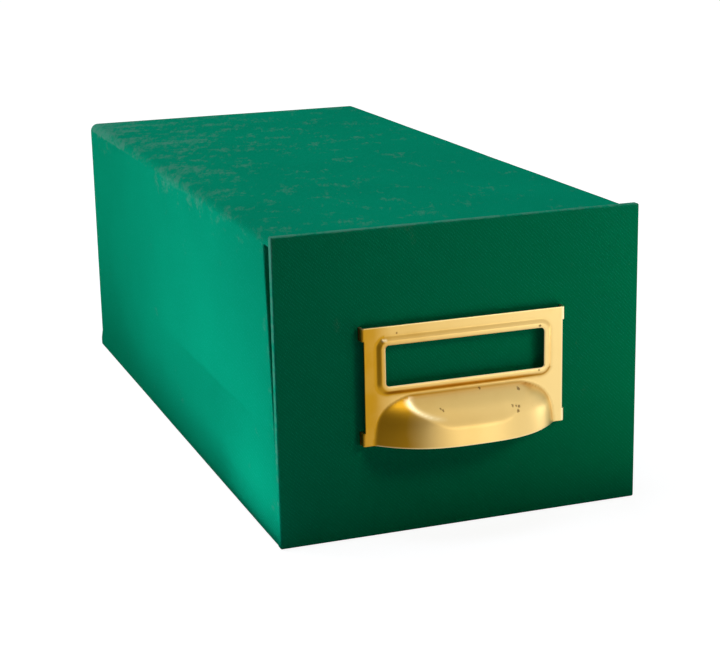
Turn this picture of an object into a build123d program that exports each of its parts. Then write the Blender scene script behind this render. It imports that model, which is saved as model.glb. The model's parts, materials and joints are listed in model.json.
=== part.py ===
"""Index card drawer: a cloth-covered board case with a drawer and a brass label pull."""
from build123d import *
import math
import os

# All sizes are in millimetres. X runs to the right, Y to the back and Z up. The pieces are
# drawn with Y = 0 on the drawer front's outer face, and are written out with the
# origin on the table, under the middle of the whole object.

# What the drawer holds
card_width = 95.0
card_height = 65.0
stack_length = 220.0
card_side_play = 3.4        # left and right together
card_headroom = 15.0        # over the cards, for guides with tabs
stack_play = 5.6

# Thicknesses of the materials
cloth = 0.35
paper = 0.15
corner_tape = 0.2
case_board = 2.0
tray_board = 1.6
front_board = 2.0
brass_sheet = 0.6

# Running clearances
side_clearance = 0.4        # on each side of the tray
floor_clearance = 0.3       # under the tray
back_clearance = 1.0        # behind the closed drawer
mouth_gap = 0.3             # between the drawer front and the case when closed

# Case
edge_radius = 3.0           # on the two long top edges
mouth_rake = 7.1            # how far the side boards' front edges lean back at their top
rake_start = 6.0            # height at which they start to lean
foot_projection = 0.5       # how far the bottom edge stands out at the sides
foot_height = 3.0
foot_fade = 2.5             # height over which the foot runs out into the side
turn_in = 12.0              # width of cloth turned over an edge
sheet_inset = 1.5           # from the case's edges to the sheets pasted on its base and back
tape_width = 12.0

# Drawer tray
card_show = 5.0             # of the cards above the low walls
front_wall_clearance = 3.9  # between the tall front wall and the top of the mouth

# Drawer front
front_overhang = 0.8        # past the case at each side
front_top_overhang = 1.0
front_lift = 0.45           # its lower edge above the table
front_edge_radius = 0.45

# Brass label pull: one stamped sheet, with a label window over a finger cup
pull_width = 60.0
pull_height = 34.0
pull_rise = 27.4            # from the drawer front's lower edge to the pull's
pull_standoff = 1.6         # between the plate and the cloth, where the label slides in
pull_corner_radius = 0.8
window_width = 48.0
window_height = 11.7
window_drop = 5.4           # from the plate's upper edge to the window
window_corner_radius = 1.0
frame_width = 2.65          # of the raised frame round the window, its sloping side included
frame_step = 0.8            # how far the frame stands out of the plate
frame_lean = 62.0           # of the frame's outer side, in degrees
cup_side_margin = 2.6       # of flat plate left beside the cup's lip
cup_height = 13.7
cup_reach = 10.1            # out from the plate
cup_arch_height = 14.6      # of the arch that the cup's outline follows on the plate
cup_arch_squareness = 3.6   # power of that arch's curve
cup_side_lean = 0.10        # how far the sides close in per millimetre of height
cup_front_lean = 0.13
cup_squareness = 2.9        # power of the lip's curve seen from below: 2 is a parabola
cup_softening = 0.05        # by which that power falls off towards the roof
cup_softening_start = 6.0   # height over the lip at which it starts to fall off
cup_roof_fall = 0.70        # of the sloping top, per millimetre outwards
cup_blend = 2.6             # rounding of the crease between the top and the sides
tab_height = 3.7
tab_inset = 0.1             # from the plate's upper and lower edges
tab_bulge = 0.8             # how far the bent tabs stand out past the plate
tab_clinch = 4.0            # length that is bent over inside
slot_clearance = 0.15       # round each tab

# Worked out: heights, from the table up
base_sheet_top = cloth
case_core_bottom = base_sheet_top + cloth
cavity_floor = case_core_bottom + case_board
tray_bottom = cavity_floor + cloth + floor_clearance
tray_floor = tray_bottom + paper + tray_board + paper
mouth_top = tray_floor + card_height + card_headroom
cavity_top = mouth_top + cloth
case_top = cavity_top + case_board + cloth
tray_wall_top = tray_floor + card_height - card_show
tray_front_top = mouth_top - front_wall_clearance
front_bottom = front_lift
front_top = case_top + front_top_overhang
pull_bottom = front_bottom + pull_rise
pull_top = pull_bottom + pull_height
window_centre_z = pull_top - window_drop - window_height / 2

# Worked out: half widths, from the middle out
tray_inner_half = (card_width + card_side_play) / 2
tray_half = tray_inner_half + paper + tray_board + paper
cavity_half = tray_half + side_clearance + cloth
case_half = cavity_half + case_board + cloth
front_half = case_half + front_overhang
tab_outer = pull_width / 2 + tab_bulge
tab_inner = tab_outer - brass_sheet
cup_half = pull_width / 2 - cup_side_margin

# Worked out: depths, from the drawer front's outer face back
front_thickness = cloth + front_board + cloth
tray_inner_front_y = front_thickness + paper + tray_board + paper
tray_inner_back_y = tray_inner_front_y + stack_length + stack_play
tray_back_y = tray_inner_back_y + paper + tray_board + paper
mouth_y = front_thickness + mouth_gap
band_end_y = mouth_y + mouth_rake + turn_in
cavity_back_y = tray_back_y + back_clearance + paper
core_back_y = cavity_back_y + case_board
form_back_y = core_back_y + cloth
case_back_y = form_back_y + cloth
plate_back_y = -pull_standoff
plate_front_y = plate_back_y - brass_sheet
lip_y = plate_front_y - cup_reach
middle_y = (lip_y + case_back_y) / 2

FAR = 1000.0                # past everything
WIDE = (-FAR, FAR)
DEEP = (0.0, FAR)
CUP_COLUMNS = 41            # points across and up each of the cup's surfaces
CUP_ROWS = 21
CUP_MARGIN = 1.5            # by which those surfaces run past the cup's edges
CUP_SKIRT = 3.0             # how deep they sink there, behind the plate


def block(x, y, z):
    """A box from its (low, high) limits along X, Y and Z."""
    sizes = [high - low for low, high in (x, y, z)]
    return Pos(x[0], y[0], z[0]) * Box(*sizes, align=(Align.MIN, Align.MIN, Align.MIN))


def prism(points, direction, length, rounded=(), radius=0.0):
    """A straight prism on a flat outline, with the numbered corners rounded."""
    outline = make_face(Polyline(*points, close=True))
    if rounded:
        corners = [outline.vertices().sort_by_distance(points[i])[0] for i in rounded]
        outline = fillet(corners, radius)
    return extrude(outline, length, dir=direction)


# Case ----------------------------------------------------------------------------------

def case_form(inset):
    """The closed outer form of the case, with every face drawn in by inset."""
    low, high = base_sheet_top + inset, case_top - inset
    side, foot = case_half - inset, case_half + foot_projection - inset
    front = mouth_y + inset
    right = [(foot, low), (foot, foot_height), (side, foot_height + foot_fade), (side, high)]
    left = [(-x, z) for x, z in reversed(right)]
    points = [(x, front, z) for x, z in right + left]
    depth = form_back_y - inset - front
    return prism(points, (0, 1, 0), depth, rounded=(3, 4), radius=edge_radius - inset)


def mouth_notch(grow):
    """The wedge in front of the raked side edges, up to the top board, grown by a cover."""
    lean = mouth_rake / (mouth_top - rake_start)
    start = mouth_y + grow * math.hypot(1, lean)
    end = start + mouth_rake + grow * lean
    top = mouth_top + grow
    points = [(0, rake_start), (start, rake_start), (end, top), (0, top)]
    return prism([(-FAR, y, z) for y, z in points], (1, 0, 0), 2 * FAR)


def case_core():
    """The case's boards together with the room inside them."""
    return case_form(cloth) - mouth_notch(cloth)


def cavity(inset, y_start, y_end):
    """A stretch of the room inside the case's boards, drawn in by inset."""
    half = cavity_half - inset
    return block((-half, half), (y_start, y_end), (cavity_floor + inset, cavity_top - inset))


def case_corner_stays():
    """Gummed tape over the case's long corners and round its back, let into the boards."""
    skin = case_form(cloth) - case_form(cloth + corner_tape)
    half = case_half + foot_projection - tape_width
    low, high = case_core_bottom + tape_width, case_top - cloth - tape_width
    back = core_back_y - tape_width
    skin -= block(WIDE, (0, band_end_y), DEEP)
    skin -= block((-half, half), (0, back), DEEP)
    skin -= block(WIDE, (0, back), (low, high))
    return skin - block((-half, half), (back, FAR), (low, high))


def case_boards():
    """The five boards, cut from one core so that they meet face to face."""
    core = case_core() - case_corner_stays()
    walls = (cavity_floor, cavity_top)
    sides = (0, cavity_back_y)
    return {
        "case_bottom_board": core & block(WIDE, DEEP, (0, cavity_floor)),
        "case_top_board": core & block(WIDE, DEEP, (cavity_top, FAR)),
        "case_left_board": core & block((-FAR, -cavity_half), sides, walls),
        "case_right_board": core & block((cavity_half, FAR), sides, walls),
        "case_back_board": core & block(WIDE, (cavity_back_y, FAR), walls),
    }


def case_infills():
    """Paper that fills the base and the back level inside the turned-over cloth."""
    half = case_half - turn_in
    base = block((-half, half), (mouth_y + turn_in, core_back_y - turn_in),
                 (base_sheet_top, case_core_bottom))
    back = block((-half, half), (core_back_y, form_back_y),
                 (case_core_bottom + turn_in, case_top - cloth - turn_in))
    return {"case_base_infill": base, "case_back_infill": back}


def case_wrap():
    """The green cloth round the case, turned in at the mouth and over the base and back."""
    shell = case_form(0) - case_core() - cavity(cloth, 0, cavity_back_y)
    for infill in case_infills().values():
        shell -= infill
    band = cavity(0, mouth_y, band_end_y) - cavity(cloth, mouth_y, band_end_y)
    return shell + band - mouth_notch(0)


def case_sheets():
    """The cloth sheets pasted over the base, which stands on the table, and the back."""
    half = case_half - sheet_inset
    base = block((-half, half), (mouth_y + sheet_inset, form_back_y - sheet_inset),
                 (0, base_sheet_top))
    back = block((-half, half), (form_back_y, case_back_y),
                 (base_sheet_top + sheet_inset, case_top - sheet_inset))
    return {"case_base_sheet": base, "case_back_sheet": back}


def case_lining():
    """The paper lining, from the turned-in cloth to the back."""
    room = cavity(paper, band_end_y, cavity_back_y - paper)
    return cavity(0, band_end_y, cavity_back_y) - room


# Tray ----------------------------------------------------------------------------------

def tray_form(inset):
    """The tray's outer form: low walls, and a taller one behind the drawer front."""
    half = tray_half - inset
    front, low = front_thickness + inset, tray_bottom + inset
    body = block((-half, half), (front, tray_back_y - inset), (low, tray_wall_top - inset))
    wall = block((-half, half), (front, tray_inner_front_y - inset), (low, tray_front_top - inset))
    return body + wall


def tray_room(grow):
    """The room inside the tray, open upwards, grown by a cover."""
    half = tray_inner_half + grow
    return block((-half, half), (tray_inner_front_y - grow, tray_inner_back_y + grow),
                 (tray_floor - grow, FAR))


def tray_corner_stays():
    """Gummed tape over the tray's upright corners and round its bottom edge."""
    skin = tray_form(paper) - tray_form(paper + corner_tape)
    half = tray_half - tape_width
    front, back = front_thickness + tape_width, tray_back_y - tape_width
    low, high = tray_bottom + tape_width, tray_wall_top - paper - corner_tape
    skin -= block((-half, half), (front, back), DEEP)
    skin -= block(WIDE, (front, back), (low, FAR))
    skin -= block((-half, half), DEEP, (low, FAR))
    return skin - block(WIDE, DEEP, (high, FAR))


def tray_boards():
    """The five boards of the tray: four walls on a bottom board."""
    core = tray_form(paper) - tray_room(paper) - tray_corner_stays()
    floor_top = tray_floor - paper
    walls = (floor_top, FAR)
    front, back = tray_inner_front_y - paper, tray_inner_back_y + paper
    half = tray_inner_half + paper
    return {
        "tray_bottom_board": core & block(WIDE, DEEP, (0, floor_top)),
        "tray_left_board": core & block((-FAR, -half), (front, back), walls),
        "tray_right_board": core & block((half, FAR), (front, back), walls),
        "tray_front_board": core & block(WIDE, (0, front), walls),
        "tray_back_board": core & block(WIDE, (back, FAR), walls),
    }


def tray_wrap():
    """The paper round the outside of the tray and over the top edges of its walls."""
    return tray_form(0) - tray_form(paper) - tray_room(paper)


def tray_lining():
    """The paper inside the tray."""
    return (tray_form(0) & tray_room(paper)) - tray_room(0)


# Drawer front --------------------------------------------------------------------------

def front_form(inset):
    """The drawer front as a plain slab, with every face drawn in by inset."""
    half = front_half - inset
    return block((-half, half), (inset, front_thickness - inset),
                 (front_bottom + inset, front_top - inset))


def front_backing():
    """Paper on the back of the drawer front, level with the cloth turned over its edges."""
    half = front_half - turn_in
    return block((-half, half), (front_thickness - cloth, front_thickness),
                 (front_bottom + turn_in, front_top - turn_in))


def front_cloth():
    """The green cloth over the drawer front, turned over its edges."""
    slab = fillet(front_form(0).edges(), front_edge_radius)
    return slab - front_form(cloth) - front_backing()


# Brass label pull ----------------------------------------------------------------------

def cup_depth(x, rise):
    """How far the cup's outside stands out of the plate at x, rise above its lip.

    The sides and front are one bulging wall that closes in upwards under an arch, and the roof
    slopes out and down from the plate. The lower of the two counts, with the crease between
    them rounded. Outside the cup the depth is negative, and levels out.
    """
    arch = max(1 - (max(rise, 0) / cup_arch_height) ** cup_arch_squareness, 0.001)
    half = cup_half * arch ** (1 / cup_arch_squareness) - cup_side_lean * rise
    softened = cup_softening * max(rise - cup_softening_start, 0) ** 2
    power = max(cup_squareness - softened, 1.3)
    wall = (cup_reach - cup_front_lean * rise) * (1 - abs(x / half) ** power)
    roof = (cup_height - rise) / cup_roof_fall
    overlap = max(cup_blend - abs(wall - roof), 0)
    depth = min(wall, roof) - overlap ** 2 / (4 * cup_blend)
    return depth if depth > 0 else depth / (1 - depth / CUP_SKIRT)


def cup_inner_depth(x, rise):
    """The same for the cup's inside, one sheet's thickness in, square to the surface."""
    step = 0.05
    slope_x = (cup_depth(x + step, rise) - cup_depth(x - step, rise)) / (2 * step)
    slope_z = (cup_depth(x, rise + step) - cup_depth(x, rise - step)) / (2 * step)
    return cup_depth(x, rise) - brass_sheet * math.hypot(1, slope_x, slope_z)


def spread(low, high, count):
    """Evenly spaced values from low to high."""
    return [low + (high - low) * step / (count - 1) for step in range(count)]


def cup_form(depth_at, base_y):
    """The space between the plane base_y and a cup surface that is given as a depth."""
    reach = cup_half + CUP_MARGIN
    xs = spread(-reach, reach, CUP_COLUMNS)
    rises = spread(-CUP_MARGIN, cup_height + CUP_MARGIN, CUP_ROWS)
    rows = [[(x, plate_front_y - depth_at(x, rise), pull_bottom + rise) for x in xs]
            for rise in rises]
    surface = Face.make_surface_from_array_of_points(rows, tol=0.005)
    solid = extrude(surface, 3 * cup_reach, dir=(0, 1, 0))
    return solid & block(WIDE, (-FAR, base_y), (pull_bottom, FAR))


def rounded_bar(width, height, centre_z, y, length, radius, lean=0.0):
    """A bar with rounded corners that runs from y towards the user."""
    plane = Plane((0, y, centre_z), x_dir=(1, 0, 0), z_dir=(0, -1, 0))
    return extrude(plane * RectangleRounded(width, height, radius), length, taper=lean)


def window_frame(y, draw_in):
    """The raised frame round the window as a solid bar from y, drawn in all round."""
    width, height = (size + 2 * (frame_width - draw_in) for size in (window_width, window_height))
    radius = window_corner_radius + frame_width - draw_in
    return rounded_bar(width, height, window_centre_z, y, frame_step, radius, frame_lean)


def tab_places():
    """The (side, lower edge) of each of the four tabs."""
    lows = (pull_bottom + tab_inset, pull_top - tab_inset - tab_height)
    return [(side, low) for side in (-1, 1) for low in lows]


def pull_tab(side, low):
    """One tab: bent back off the plate's edge, through the front, and clinched inside."""
    root, tip = tab_inner - tab_bulge, tab_outer - tab_clinch
    near, far = tray_inner_front_y, tray_inner_front_y + brass_sheet
    points = [(root, plate_front_y), (tab_outer, plate_front_y), (tab_outer, far), (tip, far),
              (tip, near), (tab_inner, near), (tab_inner, plate_back_y), (root, plate_back_y)]
    corners = [(side * x, y, low) for x, y in points]
    return prism(corners, (0, 0, 1), tab_height, rounded=(1, 2), radius=tab_bulge)


def tab_slots():
    """The four slots through the drawer front and the tray's front wall."""
    slots = []
    for side, low in tab_places():
        edges = (side * (tab_outer + slot_clearance), side * (tab_inner - slot_clearance))
        slots.append(block(sorted(edges), (0, tray_inner_front_y),
                           (low - slot_clearance, low + tab_height + slot_clearance)))
    return slots


def label_pull():
    """The brass pull in one piece: plate, raised window frame, finger cup and four tabs."""
    lean = math.radians(frame_lean)
    draw_in = brass_sheet * (1 - math.sin(lean)) / math.cos(lean)
    through = frame_step - plate_front_y
    pull = rounded_bar(pull_width, pull_height, (pull_bottom + pull_top) / 2, plate_back_y,
                       brass_sheet, pull_corner_radius)
    pull += window_frame(plate_front_y, 0) + cup_form(cup_depth, plate_front_y)
    pull -= window_frame(plate_back_y, draw_in) + cup_form(cup_inner_depth, plate_back_y)
    pull -= rounded_bar(window_width, window_height, window_centre_z, 0, through,
                        window_corner_radius)
    for side, low in tab_places():
        pull += pull_tab(side, low)
    return pull


# Everything ----------------------------------------------------------------------------

def case_pieces():
    """The pieces of the case, which stays put."""
    pieces = case_boards() | case_infills() | case_sheets()
    pieces["case_corner_stays"] = case_corner_stays()
    pieces["case_wrap"] = case_wrap()
    pieces["case_lining"] = case_lining()
    return pieces


def drawer_pieces():
    """The pieces of the drawer, which slides out forwards."""
    pieces = tray_boards()
    pieces["tray_wrap"] = tray_wrap()
    pieces["tray_lining"] = tray_lining()
    pieces["drawer_front_board"] = front_form(cloth)
    pieces["drawer_front_cloth"] = front_cloth()
    pieces["drawer_front_backing"] = front_backing()
    for slot in tab_slots():
        pieces = {name: piece - slot for name, piece in pieces.items()}
    pieces["tray_corner_stays"] = tray_corner_stays()
    pieces["label_pull"] = label_pull()
    return pieces


os.makedirs("parts", exist_ok=True)
for name, piece in (case_pieces() | drawer_pieces()).items():
    export_step(Pos(0, -middle_y, 0) * piece, f"parts/{name}.step")
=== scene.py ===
import json
import math

import bmesh
import bpy
from bpy.props import FloatProperty, FloatVectorProperty, PointerProperty
from mathutils import Matrix, Vector, noise


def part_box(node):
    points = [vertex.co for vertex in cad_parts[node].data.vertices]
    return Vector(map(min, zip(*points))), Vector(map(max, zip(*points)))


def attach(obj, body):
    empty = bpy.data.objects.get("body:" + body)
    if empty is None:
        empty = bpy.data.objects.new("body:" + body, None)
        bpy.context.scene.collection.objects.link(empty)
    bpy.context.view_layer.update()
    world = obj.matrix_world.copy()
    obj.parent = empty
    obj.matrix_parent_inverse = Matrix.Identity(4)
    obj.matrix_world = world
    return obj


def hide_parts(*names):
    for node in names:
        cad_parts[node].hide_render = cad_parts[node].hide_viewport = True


bl_info = {
    "name": "Index Card Drawer",
    "version": (1, 0, 0),
    "blender": (4, 5, 0),
    "location": "3D View > Sidebar > Card Drawer",
    "description": "Dresses the packed card drawer in cloth, paper and brass",
    "category": "Add Mesh",
}

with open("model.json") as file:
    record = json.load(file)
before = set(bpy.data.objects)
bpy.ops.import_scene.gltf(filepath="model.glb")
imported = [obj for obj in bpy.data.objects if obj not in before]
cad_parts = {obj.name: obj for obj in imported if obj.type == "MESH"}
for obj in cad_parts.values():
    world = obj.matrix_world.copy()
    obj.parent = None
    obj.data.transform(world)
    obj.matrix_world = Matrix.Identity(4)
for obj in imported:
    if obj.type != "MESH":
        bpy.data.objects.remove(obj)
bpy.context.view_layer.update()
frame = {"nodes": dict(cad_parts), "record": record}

MM = 0.001
RIGHT, BACK, UP = Vector((1, 0, 0)), Vector((0, 1, 0)), Vector((0, 0, 1))
CLOSE = 0.01                # millimetres within which two places count as one
FACING = 0.9                # share of a face's normal from which it faces a way


def in_mm(length):
    """A length or a corner in metres as millimetres. Meshes are drawn in millimetres."""
    return length / MM


def box_mm(node):
    """Lowest and highest corner of a CAD node, in millimetres."""
    return [in_mm(corner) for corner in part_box(node)]


# Sizes that a user would change ---------------------------------------------------------

def length(name, description, millimetres):
    """A length property, shown in the scene's units."""
    return FloatProperty(name=name, description=description, default=millimetres * MM,
                         min=0.0, unit="LENGTH", precision=5)


def colour(name, description, value):
    """A colour property, in scene-linear values."""
    return FloatVectorProperty(name=name, description=description, default=value,
                               subtype="COLOR", size=3, min=0.0, max=1.0)


def amount(name, description, value, high=1.0):
    """A plain number property."""
    return FloatProperty(name=name, description=description, default=value, min=0.0, max=high)


def power(name, description, watts):
    """A lamp's power."""
    return FloatProperty(name=name, description=description, default=watts, min=0.0, unit="POWER")


class CaseCoverSizes(bpy.types.PropertyGroup):
    """Sizes of the cloth on the case."""
    cloth: length("Cloth", "Thickness of the bookcloth", 0.35)
    edge_radius: length("Long edges", "Radius of the two long top edges", 2.7)
    fold_radius: length("Folds", "Radius of the cloth where it turns over an edge", 0.8)
    rake: length("Mouth rake", "How far the side edges lean back at their top", 7.1)
    rake_start: length("Rake start", "Height at which the side edges start to lean", 6.0)
    foot: length("Foot", "How far the bottom edge stands out at each side", 0.5)
    foot_height: length("Foot height", "Height of the part that stands out", 3.05)
    turn_in: length("Turn-in", "Width of the cloth turned over an edge", 12.0)
    wall: length("Wall", "Covered thickness of the case's walls", 2.7)
    waviness: length("Waviness", "How far the glued cloth rises and falls", 0.12)
    station: length("Stations", "Distance between the rows of the mesh", 3.0)


class FrontCoverSizes(bpy.types.PropertyGroup):
    """Sizes of the cloth on the drawer front."""
    fold_radius: length("Folds", "Radius of the cloth on the front's edges", 0.5)
    waviness: length("Waviness", "How far the glued cloth rises and falls", 0.07)
    pucker: length("Pucker", "How far the cloth is drawn in round a tab", 0.2)
    station: length("Stations", "Distance between the rows of the mesh", 2.0)


class PullSizes(bpy.types.PropertyGroup):
    """Sizes of the stamped brass pull."""
    sheet: length("Sheet", "Thickness of the brass", 0.6)
    cell: length("Cell", "Size of the mesh's ordinary cells", 0.45)
    fine_cell: length("Fine cell", "Size of its cells round the window", 0.16)
    window_width: length("Window width", "Clear width of the label window", 48.0)
    window_height: length("Window height", "Clear height of the label window", 11.7)
    window_drop: length("Window drop", "From the plate's upper edge to the window", 5.4)
    window_radius: length("Window corners", "Radius of the window's corners", 1.0)
    frame_width: length("Frame width", "Width of the raised frame, its sloping side included", 2.65)
    frame_flat: length("Frame flat", "Width of the frame's flat crown", 1.15)
    frame_step: length("Frame step", "How far the frame stands out of the plate", 0.8)
    cup_half: length("Cup half width", "From the middle to the end of the cup's lip", 27.4)
    cup_height: length("Cup height", "Height of the cup over its lip", 13.7)
    cup_reach: length("Cup reach", "How far the cup's lip stands out of the plate", 10.1)
    tab_height: length("Tab height", "Height of each bent tab", 3.7)
    tab_bulge: length("Tab bulge", "How far the bent tabs stand out past the plate", 0.8)
    tab_clinch: length("Tab clinch", "Length of each tab that is bent over inside", 4.0)
    rim: length("Rim", "Rounding of the sheet's cut edges", 0.1)


class Finishes(bpy.types.PropertyGroup):
    """Colours and scales of the materials."""
    cloth_green: colour("Cloth", "Ground colour of the bookcloth", (0.001, 0.272, 0.130))
    cloth_light: colour("Cloth flecks", "Threads that lie on top of the weave",
                        (0.020, 0.370, 0.245))
    cloth_worn: colour("Worn cloth", "Rubbed and dusty patches", (0.115, 0.280, 0.190))
    thread_pitch: length("Thread pitch", "Distance from thread to thread", 0.38)
    brass: colour("Brass", "Clean satin brass", (0.860, 0.630, 0.255))
    # The colour that the painted shade darkens the brass towards, in the frame's groove and round
    # the cup's foot too.
    brass_in_painted_shade: colour("Dull brass", "Brass in the hollows and under the painted shade",
                       (0.470, 0.240, 0.012))
    # The colour of all the painted highlights on the pull: its edges, the cup's lip and crease, and
    # the dash by the dimple.
    brass_bright: colour("Bright brass", "Brass on the edges and in the painted shine",
                         (1.0, 0.88, 0.54))
    board_grey: colour("Greyboard", "Ground colour of the boards", (0.330, 0.315, 0.280))
    lining: colour("Lining paper", "Paper inside the case and the tray", (0.690, 0.640, 0.520))
    cover_paper: colour("Cover paper", "Smooth paper round the tray", (0.022, 0.026, 0.026))
    tape: colour("Gummed tape", "Kraft tape over the boards' joints", (0.420, 0.270, 0.130))


class StageSizes(bpy.types.PropertyGroup):
    """The lamps and the floor."""
    floor_colour: colour("Floor", "Colour of the floor", (0.35, 0.35, 0.35))
    ambient: amount("Ambient", "Even light from all round", 0.012)
    top_power: power("Top lamp", "Power of the lamp overhead", 4.15)
    back_power: power("Back lamp", "Power of the lamp behind, at the left", 1.2)
    front_power: power("Front lamp", "Power of the lamp at the right", 0.46)
    shine_power: power("Left shine", "Power of the lamp that shines on the pull's left", 0.34)
    glint_power: power("Front shine", "Power of the low lamp that shines on the pull's front", 0.30)
    bounce: amount("Floor lamps", "Brightness of the flat lamps on the floor", 1.0, 10.0)


# Mesh helpers ---------------------------------------------------------------------------

def faces_where(bm, test):
    """The faces whose centre and normal pass a test."""
    return [face for face in bm.faces if test(face.calc_center_median(), face.normal)]


def cut(bm, point, normal, faces=None):
    """Cuts the given faces, or all, along a plane and keeps both sides."""
    faces = list(bm.faces) if faces is None else faces
    parts = [part for face in faces for part in (*face.verts, *face.edges, face)]
    bmesh.ops.bisect_plane(bm, geom=list(dict.fromkeys(parts)), dist=1e-4,
                           plane_co=point, plane_no=normal)
    bm.normal_update()


def cut_rows(bm, axis, places, test=None):
    """Cuts across an axis at several places."""
    for place in places:
        faces = None if test is None else faces_where(bm, test)
        cut(bm, axis * place, axis, faces)


def between(low, high, step):
    """Evenly spaced places inside a range, about a step apart."""
    count = max(1, round((high - low) / step))
    return [low + (high - low) * i / count for i in range(1, count)]


def new_slab(low, high):
    """A box between two corners."""
    bm = bmesh.new()
    bmesh.ops.create_cube(bm, size=1.0)
    bmesh.ops.scale(bm, vec=high - low, verts=bm.verts)
    bmesh.ops.translate(bm, vec=(low + high) / 2, verts=bm.verts)
    return bm


def round_edges(bm, edges, radius, segments):
    """Rounds edges over with an arc."""
    bmesh.ops.bevel(bm, geom=edges, offset=radius, offset_type="OFFSET", segments=segments,
                    profile=0.5, affect="EDGES", material=-1, clamp_overlap=True)
    bm.normal_update()


def sharp_edges(bm, degrees=30.0):
    """The outward corners of a mesh."""
    limit = math.radians(degrees)
    return [edge for edge in bm.edges
            if len(edge.link_faces) == 2 and edge.calc_face_angle() > limit and edge.is_convex]


def remove(bm, faces):
    """Deletes faces and what only they used."""
    bmesh.ops.delete(bm, geom=faces, context="FACES")


def lay_map(bm, unroll):
    """Lays the weave's map on a mesh, in millimetres along the threads."""
    layer = bm.loops.layers.uv.new("weave")
    for face in bm.faces:
        for loop in face.loops:
            loop[layer].uv = unroll(face.normal, loop.vert.co)


def mark_wear(bm, wear_at):
    """Notes on each vertex how worn the surface is there."""
    layer = bm.verts.layers.float.new("wear")
    for vert in bm.verts:
        vert[layer] = min(max(wear_at(vert.co), 0.0), 1.0)


def rise(bm, height_at):
    """Moves the vertices out along their normals."""
    bm.normal_update()
    moves = [vert.normal * height_at(vert.co) for vert in bm.verts]
    for vert, move in zip(bm.verts, moves):
        vert.co += move


def near(distance, reach):
    """1 at a distance of nothing, fading to 0 at the reach."""
    return max(0.0, 1.0 - abs(distance) / reach) ** 2


def hills(place, size, seed=0.0):
    """Smooth noise from -1 to 1, with hills about a size across."""
    return noise.noise(Vector((seed, -seed, 2 * seed)) + place / size)


def add_piece(bm, name, body, material, replaced):
    """Turns a mesh drawn in millimetres into a piece that rides on a body."""
    bmesh.ops.scale(bm, vec=(MM, MM, MM), verts=bm.verts)
    mesh = bpy.data.meshes.new(name)
    bm.to_mesh(mesh)
    bm.free()
    mesh.shade_smooth()
    piece = bpy.data.objects.new(name, mesh)
    bpy.context.scene.collection.objects.link(piece)
    piece.data.materials.append(material)
    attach(piece, body)
    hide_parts(*replaced)
    return piece


def thicken(piece, thickness):
    """Gives a skin its thickness, inwards."""
    solid = piece.modifiers.new("thickness", "SOLIDIFY")
    solid.thickness = thickness
    solid.offset = -1.0
    solid.use_even_offset = True
    return solid


def even_shading(piece):
    """Keeps flat faces flat beside rounded edges."""
    weighted = piece.modifiers.new("even_shading", "WEIGHTED_NORMAL")
    weighted.keep_sharp = True
    return weighted


# Material helpers -----------------------------------------------------------------------

class Value:
    """A number in a material. Sums on it add Math nodes."""

    def __init__(self, paint, socket):
        self.paint = paint
        self.socket = socket

    def maths(self, operation, *inputs):
        return self.paint.add("ShaderNodeMath", {"operation": operation}, dict(enumerate(inputs)))

    def __add__(self, other):
        return self.maths("ADD", self, other)

    def __sub__(self, other):
        return self.maths("SUBTRACT", self, other)

    def __rsub__(self, other):
        return self.maths("SUBTRACT", other, self)

    def __mul__(self, other):
        return self.maths("MULTIPLY", self, other)

    def __truediv__(self, other):
        return self.maths("DIVIDE", self, other)

    def __pow__(self, power):
        return self.maths("POWER", self, power)

    def __lt__(self, other):
        return self.maths("LESS_THAN", self, other)

    __radd__ = __add__
    __rmul__ = __mul__

    def whole(self):
        return self.maths("FLOOR", self)

    def part(self):
        return self.maths("FRACT", self)

    def most(self, other):
        return self.maths("MAXIMUM", self, other)

    def eased(self, low, high):
        """0 below low and 1 above high, with a smooth step between. It falls if low > high."""
        return self.paint.add(
            "ShaderNodeMapRange", {"interpolation_type": "SMOOTHSTEP"},
            {"Value": self, "From Min": low, "From Max": high})


# The Mix node's colour sockets go by number, because their names repeat
MIX_FACTOR, MIX_FIRST, MIX_SECOND, MIX_RESULT = 0, 6, 7, 2


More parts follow.
